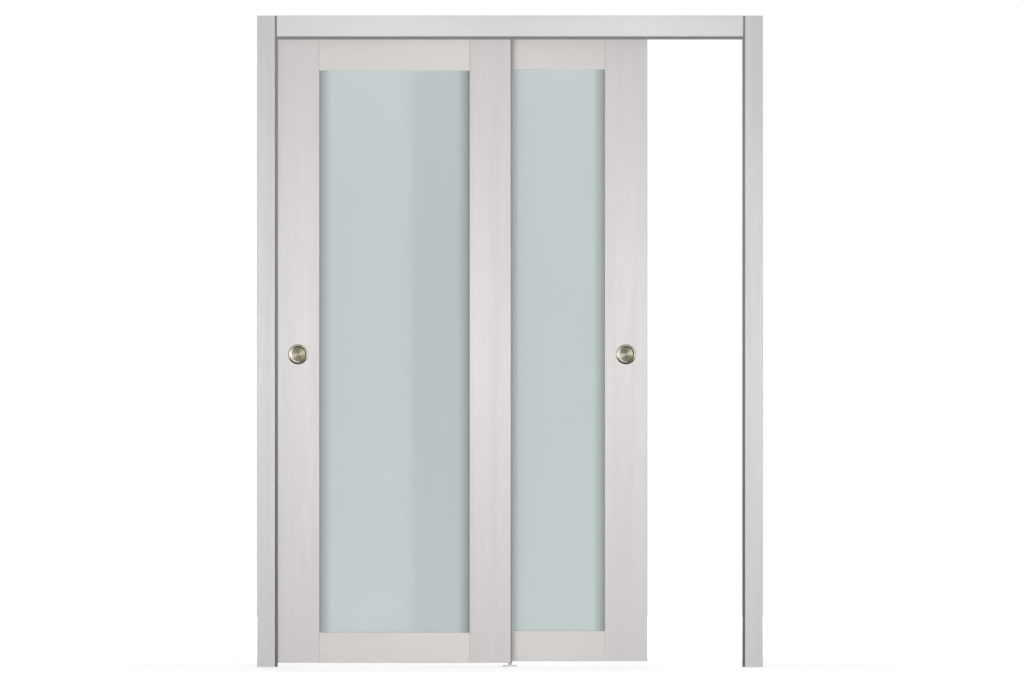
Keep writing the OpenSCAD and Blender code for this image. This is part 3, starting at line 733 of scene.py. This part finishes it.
@dataclass(frozen=True)
class TurnedNickel:
    """Aged nickel, brushed in circles round the middle of a pull, with arcs of painted shade and a
    painted glint.

    The pairs of distances are counted outwards from the bore, and a tone fades in between them.
    """

    name: str
    centre: Vector
    bore_r: float
    tone: Tone = (83, 80, 70)
    painted_glint_tone: Tone = (238, 237, 232)
    roughness: float = 0.29
    brushing: float = 1.0
    brushing_turn: float = 0.96
    cove_start: tuple[float, float] = (-4.0 * MM, -0.5 * MM)
    cove_end: tuple[float, float] = (0.1 * MM, 0.5 * MM)
    rim_start: tuple[float, float] = (0.1 * MM, 0.6 * MM)
    edge_start: tuple[float, float] = (0.6 * MM, 2.4 * MM)
    rim_gain: float = 2.2
    upper_shade_gain: float = 0.2
    shaded_gain: float = 0.12
    # painted glint: a near-white arc on the cove's lower left
    painted_glint: Crescent = Crescent(right=-0.95, up=-0.35, start=0.5, full=0.9)
    # painted shade on the cove's upper right
    upper_painted_shade: Crescent = Crescent(right=0.8, up=0.55, start=0.45, full=0.8, strength=0.95)
    # painted shade on the rim's lower outer edge
    shaded: Crescent = Crescent(right=-0.05, up=-1.0, start=0.6, full=0.85, strength=0.95)
    stain: Stain = Stain(180.0, 180.0, detail=3.0, low=0.86, high=1.12)
    skin: Skin = Skin(2600.0, 0.0, detail=3.0, swing=0.07, depth=0.02 * MM, strength=0.2)

    def flat(self, sheet: Sheet) -> Socket:
        """Gives the way from the pull's axis to a spot, square to the axis.

        Args:
            sheet: tree that takes the nodes.

        Returns:
            The way in metres.
        """
        coords = sheet.place(Vector((1.0, 1.0, 1.0)), -self.centre)
        return sheet.vector("MULTIPLY", coords, Vector((1.0, 0.0, 1.0)))["Vector"]

    def past(self, sheet: Sheet, radius: Socket, fade: tuple[float, float]) -> Socket:
        """Gives 0 within a circle and 1 outside it, with a fade between."""
        return sheet.spread(radius, self.bore_r + fade[0], self.bore_r + fade[1])

    def colour(self, sheet: Sheet, flat: Socket, radius: Socket) -> Socket:
        """Lays the rim's tone, the arcs of painted shade and the painted glint over the stained
        metal.

        Args:
            sheet: tree that takes the nodes.
            flat: way from the axis to a spot.
            radius: length of that way.

        Returns:
            The colour.
        """
        before_lip = sheet.math("SUBTRACT", 1.0, self.past(sheet, radius, self.cove_end))
        cove = sheet.times(self.past(sheet, radius, self.cove_start), before_lip)
        rim = self.past(sheet, radius, self.rim_start)
        edge = self.past(sheet, radius, self.edge_start)
        layers = (
            (rim, linear(self.tone, self.rim_gain)),
            # painted glint
            (sheet.times(cove, self.painted_glint.draw(sheet, flat)), linear(self.painted_glint_tone)),
            # painted shade on the upper right of the cove
            (sheet.times(cove, self.upper_painted_shade.draw(sheet, flat)), linear(self.tone, self.upper_shade_gain)),
            # painted shade on the rim's lower edge
            (sheet.times(edge, self.shaded.draw(sheet, flat)), linear(self.tone, self.shaded_gain)),
        )
        paint = self.stain.tint(sheet, self.tone)
        for share, layer in layers:
            paint = sheet.blend(share, paint, layer)
        return paint

    def material(self) -> bpy.types.Material:
        """Builds the finish.

        Returns:
            The material.
        """
        sheet = Sheet(self.name)
        flat = self.flat(sheet)
        radius = sheet.vector("LENGTH", flat)["Value"]
        ring = sheet.add("ShaderNodeCombineXYZ")
        sheet.join(sheet.times(radius, self.skin.across), ring.inputs["X"])
        marks = sheet.noise(ring.outputs["Vector"], self.skin.detail)
        sheet.set(
            Base_Color=self.colour(sheet, flat, radius),
            Metallic=1.0,
            Anisotropic=self.brushing,
            Anisotropic_Rotation=self.brushing_turn,
            Tangent=flat,
        )
        self.skin.press(sheet, marks, self.roughness)
        return sheet.material


LINING_TONE = (207, 204, 202)
MEETING_TONE = (202, 198, 196)
PANE_TONE = (210, 219, 218)
CASING = WoodFinish("casing_veneer", (200, 199, 197), Grain.UPRIGHT)
# The header's two glow bands are painted sheen.
HEADER = WoodFinish(
    "header_veneer", (216, 214, 214), Grain.LEVEL, glow=(-0.39, 0.39), painted_sheen_width=0.26, painted_sheen_gain=0.1
)
LINING = WoodFinish("lining_veneer", LINING_TONE, Grain.UPRIGHT)
HEAD_LINING = WoodFinish("head_lining_veneer", LINING_TONE, Grain.LEVEL)
STILE = WoodFinish("stile_veneer", (205, 201, 199), Grain.UPRIGHT)
# The rails' glow band is painted sheen.
RAIL = WoodFinish(
    "rail_veneer", (208, 204, 201), Grain.LEVEL, glow=(-0.08,), painted_sheen_width=0.34, painted_sheen_gain=0.06
)
BEECH = WoodFinish("beech", (190, 150, 104), Grain.LEVEL, depth=0.16, roughness=0.6)
SEAL = Rubber("seal_rubber", (121, 119, 117), contrast=0.34, top_lift=0.8)
GASKET = Rubber("gasket_rubber", (190, 192, 190))
PAD = Rubber("pad_rubber", (38, 38, 38))
TRACK = Metal("mill_aluminium", (172, 173, 175), 0.36, grain=Grain.LEVEL)
ZINC = Metal("zinc_plate", (190, 193, 197), 0.32, PLATED_SKIN)
AXLE = Metal("axle_steel", (186, 187, 190), 0.28, grain=Grain.DEEP)
CAST = Metal("cast_zinc", (168, 169, 172), 0.5, CAST_SKIN, CAST_STAIN)
NYLON = Nylon("nylon", (228, 227, 222))


def dress(finish: bpy.types.Material, *names: str) -> None:
    """Puts a finish on CAD nodes.

    Args:
        finish: material to assign.
        names: names of the nodes.
    """
    for name in names:
        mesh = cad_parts[name].data
        if mesh.materials:
            mesh.materials[0] = finish
        else:
            mesh.materials.append(finish)
        LOG.info("dressed %s in %s", name, finish.name)


@dataclass
class CasedFrame:
    """Linings, casings and seals that stand round the doorway."""

    sides: tuple[str, ...] = ("left", "right")

    def dress(self) -> None:
        """Gives the frame's nodes their finishes."""
        dress(CASING.material(), *(f"{side}_casing" for side in self.sides))
        dress(HEADER.material(), "head_casing")
        dress(LINING.material(), *(f"{side}_jamb" for side in self.sides))
        dress(HEAD_LINING.material(), "head_jamb")
        dress(SEAL.material(), *(f"{side}_seal" for side in self.sides), "head_seal")


@dataclass
class RunningGear:
    """Track, trolleys, stops and guide that carry and steer the leaves."""

    leaves: tuple[str, ...] = ("front", "rear")
    hands: tuple[str, ...] = ("left", "right")
    wheel_ends: tuple[str, ...] = ("inner", "outer")
    hanger_parts: tuple[str, ...] = ("plate_screws", "hanger_bolts", "lock_nuts")

    def dress(self) -> None:
        """Gives the gear's nodes their finishes."""
        corners = [f"{leaf}_{hand}" for leaf in self.leaves for hand in self.hands]
        dress(TRACK.material(), "track")
        dress(CAST.material(), *(f"{corner}_trolley" for corner in corners))
        dress(AXLE.material(), *(f"{leaf}_axles" for leaf in self.leaves))
        zinc = ZINC.material()
        dress(zinc, "corner_screws", "track_screws", "stop_screws")
        dress(zinc, *(f"{corner}_plate" for corner in corners))
        dress(zinc, *(f"{leaf}_{part}" for leaf in self.leaves for part in self.hanger_parts))
        nylon = NYLON.material()
        dress(nylon, "floor_guide", *(f"{corner}_stop" for corner in corners))
        dress(nylon, *(f"{corner}_{end}_wheels" for corner in corners for end in self.wheel_ends))
        dress(PAD.material(), "stop_pads")


@dataclass
class Pull:
    """Round flush pull, one pressed cup with a turned dish and a domed rim."""

    leaf: str
    steps: int = 96
    rim_edge: float = 0.5 * MM
    rim_rise: float = 1.6 * MM
    rim_lip: float = 0.8 * MM
    bore_r: float = 26.3 * MM
    cup_depth: float = 10.0 * MM
    wall: float = 1.2 * MM
    cove: float = 2.8 * MM
    lip: float = 0.35 * MM
    edge_round: float = 0.2 * MM
    cove_parts: int = 6
    lip_parts: int = 3
    edge_parts: int = 2
    dome_parts: int = 8
    rings: int = 11
    ring_depth: float = 0.1 * MM
    near: float = 0.02 * MM
    weld: float = 0.001 * MM
    sharp: float = math.radians(40)
    rim_r: float = field(init=False)
    centre: Vector = field(init=False)

    def __post_init__(self) -> None:
        """Reads the pull's place from its node."""
        low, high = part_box(f"{self.leaf}_pull")
        self.rim_r = (high.x - low.x) / 2
        self.centre = Vector(((low.x + high.x) / 2, low.y + self.rim_rise, (low.z + high.z) / 2))

    def dome(self, radius: float) -> float:
        """Gives the height of the rim's domed face.

        Args:
            radius: distance from the pull's axis.

        Returns:
            Height above the door's face.
        """
        rise = self.rim_rise - self.rim_edge
        inner = self.bore_r - self.rim_lip
        half = (self.rim_r - inner) / 2
        dome_r = (half * half + rise * rise) / (2 * rise)
        away = radius - inner - half
        return self.rim_rise - dome_r + math.sqrt(dome_r * dome_r - away * away)

    def outline(self) -> list[tuple[float, float]]:
        """Lists the half section from the middle of the dish round to the middle of the back.

        Returns:
            Pairs of radius and height above the door's face.
        """
        points = [(0.0, -self.cup_depth)]
        pitch = (self.bore_r - self.cove) / (self.rings + 1)
        for ring in range(1, self.rings + 1):
            points.append((ring * pitch, -self.cup_depth + (ring % 2) * self.ring_depth))
        points.append((self.bore_r, -self.cup_depth))
        for part in range(self.dome_parts + 1):
            radius = self.bore_r + (self.rim_r - self.bore_r) * part / self.dome_parts
            points.append((radius, self.dome(radius)))
        back_r, back = self.bore_r + self.wall, -self.cup_depth - self.wall
        points += [(self.rim_r, 0.0), (back_r, 0.0), (back_r, back), (0.0, back)]
        return points

    def ring(self, bm: bmesh.types.BMesh, radius: float, height: float) -> list[bmesh.types.BMEdge]:
        """Finds the edges of one ring of the spun pull.

        Args:
            bm: mesh of the spun pull.
            radius: radius of the ring.
            height: height of the ring above the door's face.

        Returns:
            The ring's edges.
        """
        found = []
        for edge in bm.edges:
            spots = [vert.co - self.centre for vert in edge.verts]
            level = all(abs(-spot.y - height) < self.near for spot in spots)
            if level and all(abs(math.hypot(spot.x, spot.z) - radius) < self.near for spot in spots):
                found.append(edge)
        return found

    def round_corners(self, bm: bmesh.types.BMesh) -> None:
        """Rounds the cup's corner inside and outside, its lip and the rim's outer edge.

        Args:
            bm: mesh of the spun pull.
        """
        back_r, back = self.bore_r + self.wall, -self.cup_depth - self.wall
        corners = (
            (self.bore_r, -self.cup_depth, self.cove, self.cove_parts),
            (back_r, back, self.cove + self.wall, self.cove_parts),
            (self.bore_r, self.dome(self.bore_r), self.lip, self.lip_parts),
            (self.rim_r, self.rim_edge, self.edge_round, self.edge_parts),
        )
        for radius, height, size, parts in corners:
            bmesh.ops.bevel(
                bm, geom=self.ring(bm, radius, height), offset=size, affect="EDGES",
                segments=parts, profile=0.5, material=-1,
            )

    def spin(self) -> bpy.types.Mesh:
        """Spins the outline round the pull's axis and rounds its corners.

        Returns:
            The pull's mesh, in place on the leaf.
        """
        bm = bmesh.new()
        spots = [bm.verts.new(self.centre + Vector((r, -h, 0.0))) for r, h in self.outline()]
        edges = [bm.edges.new(pair) for pair in zip(spots, spots[1:])]
        bmesh.ops.spin(
            bm, geom=spots + edges, cent=self.centre, axis=(0.0, 1.0, 0.0), angle=math.tau,
            steps=self.steps, use_merge=True,
        )
        bmesh.ops.remove_doubles(bm, verts=bm.verts, dist=self.weld)
        bmesh.ops.dissolve_degenerate(bm, edges=bm.edges, dist=self.weld)
        self.round_corners(bm)
        bmesh.ops.recalc_face_normals(bm, faces=bm.faces)
        for face in bm.faces:
            face.smooth = True
        for edge in bm.edges:
            edge.smooth = edge.calc_face_angle(0.0) < self.sharp
        return mesh_of(f"{self.leaf}_pull_dish", bm)

    def build(self) -> None:
        """Puts the spun pull in place of its node and dresses it."""
        mesh = self.spin()
        piece = put(f"{self.leaf}_pull_dish", mesh)
        finish = TurnedNickel(f"{self.leaf}_nickel", self.centre, self.bore_r)
        mesh.materials.append(finish.material())
        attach(piece, f"{self.leaf}_door")
        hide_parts(f"{self.leaf}_pull")
        LOG.info("built %s with %d faces", piece.name, len(mesh.polygons))


@dataclass
class Leaf:
    """One door of stiles and rails round a frosted pane, with its pull."""

    name: str
    painted_shadow_stile: bool = False

    def opening(self) -> tuple[Vector, Vector]:
        """Measures the clear opening between the stiles and rails.

        Returns:
            Its lowest and highest corner, with no depth.
        """
        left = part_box(f"{self.name}_left_stile")[1].x
        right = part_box(f"{self.name}_right_stile")[0].x
        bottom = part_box(f"{self.name}_bottom_rail")[1].z
        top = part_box(f"{self.name}_top_rail")[0].z
        return Vector((left, 0.0, bottom)), Vector((right, 0.0, top))

    def dress(self) -> None:
        """Gives the leaf's nodes their finishes and builds its pull."""
        dress(STILE.material(), f"{self.name}_left_stile", f"{self.name}_right_stile")
        # The front leaf's meeting stile gets a painted shadow line along its outer front corner.
        if self.painted_shadow_stile:
            low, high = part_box(f"{self.name}_right_stile")
            painted_shadow_line = (high.x, low.y)
            painted_shadow_stile = replace(STILE, name="meeting_stile_shadow_veneer", tone=MEETING_TONE, painted_shadow_line=painted_shadow_line)
            dress(painted_shadow_stile.material(), f"{self.name}_right_stile")
        dress(RAIL.material(), f"{self.name}_top_rail", f"{self.name}_bottom_rail")
        pane = FrostedGlass(f"{self.name}_frosted_glass", PANE_TONE, *self.opening())
        dress(pane.material(), f"{self.name}_glass")
        dress(GASKET.material(), f"{self.name}_gasket")
        dress(BEECH.material(), f"{self.name}_dowels")
        Pull(self.name).build()


@dataclass
class Softbox:
    """Soft light at mid-height that faces the middle of the doors."""

    name: str
    size: tuple[float, float]
    far: float
    power: float
    tint: Tone
    turn: float
    height: float = 1.08

    def build(self) -> None:
        """Stands the light, turned round from straight in front of the doors to the right."""
        lamp = bpy.data.lights.new(self.name, "AREA")
        lamp.shape = "RECTANGLE"
        lamp.size, lamp.size_y = self.size
        lamp.energy = self.power
        lamp.color = self.tint
        light = put(self.name, lamp)
        angle = math.radians(self.turn)
        light.location = (self.far * math.sin(angle), -self.far * math.cos(angle), self.height)
        light.rotation_euler = (SQUARE_ON, 0.0, angle)
        light.visible_camera = False


@dataclass
class Studio:
    """Floor, lights, white surroundings and camera.

    The floor's brightness for the camera goes from floor_near to floor_away, which are pairs
    of a distance from the middle and a brightness.
    """

    floor_half: float = 9.0
    floor_tone: Tone = (232, 232, 232)
    floor_roughness: float = 0.9
    floor_sheen: float = 0.1
    floor_near: tuple[float, float] = (1.2, 0.5)
    floor_away: tuple[float, float] = (2.5, 0.8)
    ambient: float = 0.3
    strip_size: tuple[float, float] = (2.4, 0.5)
    strip_far: float = 2.6
    strip_power: float = 22.5
    strip_tint: Tone = (0.965, 0.97, 1.0)
    side_size: tuple[float, float] = (2.0, 2.0)
    side_far: float = 10.0
    side_turn: float = 12.0
    side_power: float = 131.0
    side_tint: Tone = (1.0, 1.0, 1.0)
    back_share: float = 0.85
    picture_width: int = 1024
    pixels_per_m: float = 308.6
    aim_x: float = 0.0065
    aim_z: float = 1.0535
    camera_far: float = 50.0
    clip: tuple[float, float] = (1.0, 200.0)

    def floor_paint(self) -> bpy.types.Material:
        """Makes the floor pale, and white to the camera, metal and glass away from the doors.

        Returns:
            The material.
        """
        sheet = Sheet("floor_paint")
        rays = sheet.add("ShaderNodeLightPath").outputs
        mirrored = sheet.math("MAXIMUM", rays["Is Glossy Ray"], rays["Is Transmission Ray"])
        seen = sheet.math("MAXIMUM", rays["Is Camera Ray"], mirrored)
        away = sheet.vector("LENGTH", sheet.spot())["Value"]
        (near, near_lift), (far, far_lift) = self.floor_near, self.floor_away
        sheet.set(
            Base_Color=linear(self.floor_tone),
            Roughness=self.floor_roughness,
            Specular_IOR_Level=self.floor_sheen,
            Emission_Color=WHITE,
            Emission_Strength=sheet.times(seen, sheet.spread(away, near, far, near_lift, far_lift)),
        )
        return sheet.material

    def floor(self) -> None:
        """Lays the floor under the doors."""
        bm = bmesh.new()
        bmesh.ops.create_grid(bm, x_segments=1, y_segments=1, size=self.floor_half)
        mesh = mesh_of("floor", bm)
        mesh.materials.append(self.floor_paint())
        ground = put("floor", mesh)

    def surroundings(self) -> None:
        """Makes the world white to the camera, metal and glass, and softer as a light."""
        world = bpy.data.worlds.new("studio")
        bpy.context.scene.world = world
        world.use_nodes = True
        tree = world.node_tree
        tree.nodes.clear()
        path = tree.nodes.new("ShaderNodeLightPath")
        shown = path.outputs["Is Camera Ray"]
        for ray in ("Is Glossy Ray", "Is Transmission Ray"):
            both = tree.nodes.new("ShaderNodeMath")
            both.operation = "MAXIMUM"
            tree.links.new(shown, both.inputs[0])
            tree.links.new(path.outputs[ray], both.inputs[1])
            shown = both.outputs["Value"]
        level = tree.nodes.new("ShaderNodeMapRange")
        level.inputs["To Min"].default_value = self.ambient
        level.inputs["To Max"].default_value = 1.0
        tree.links.new(shown, level.inputs["Value"])
        glow = tree.nodes.new("ShaderNodeBackground")
        glow.inputs["Color"].default_value = WHITE
        tree.links.new(level.outputs["Result"], glow.inputs["Strength"])
        result = tree.nodes.new("ShaderNodeOutputWorld")
        tree.links.new(glow.outputs["Background"], result.inputs["Surface"])

    def lights(self) -> None:
        """Stands a level strip and two side lights in front of the doors, and dimmer ones behind."""
        for end, turn, share in (("front", 0.0, 1.0), ("back", 180.0, self.back_share)):
            strip_power, side_power = self.strip_power * share, self.side_power * share
            Softbox(
                f"{end}_strip", self.strip_size, self.strip_far, strip_power, self.strip_tint, turn
            ).build()
            for hand, side in (("left", -1.0), ("right", 1.0)):
                Softbox(
                    f"{end}_side_{hand}", self.side_size, self.side_far, side_power,
                    self.side_tint, turn + side * self.side_turn,
                ).build()

    def camera(self) -> None:
        """Sets the camera square to the doors, far off, with a long lens."""
        view = bpy.data.cameras.new("camera")
        view.lens = view.sensor_width * self.camera_far * self.pixels_per_m / self.picture_width
        view.clip_start, view.clip_end = self.clip
        eye = put("camera", view)
        eye.location = (self.aim_x, -self.camera_far, self.aim_z)
        eye.rotation_euler = (SQUARE_ON, 0.0, 0.0)
        bpy.context.scene.camera = eye

    def build(self) -> None:
        """Sets up the whole studio."""
        bpy.context.scene.view_settings.view_transform = "Standard"
        self.surroundings()
        self.floor()
        self.lights()
        self.camera()
        LOG.info("set up the studio")


def main() -> None:
    """Dresses the frame, the gear and the leaves, and sets up the studio."""
    logging.basicConfig(level=logging.INFO, format="%(name)s: %(message)s")
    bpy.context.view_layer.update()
    CasedFrame().dress()
    RunningGear().dress()
    Leaf("front", painted_shadow_stile=True).dress()
    Leaf("rear").dress()
    Studio().build()


if __name__ == "__main__":
    main()
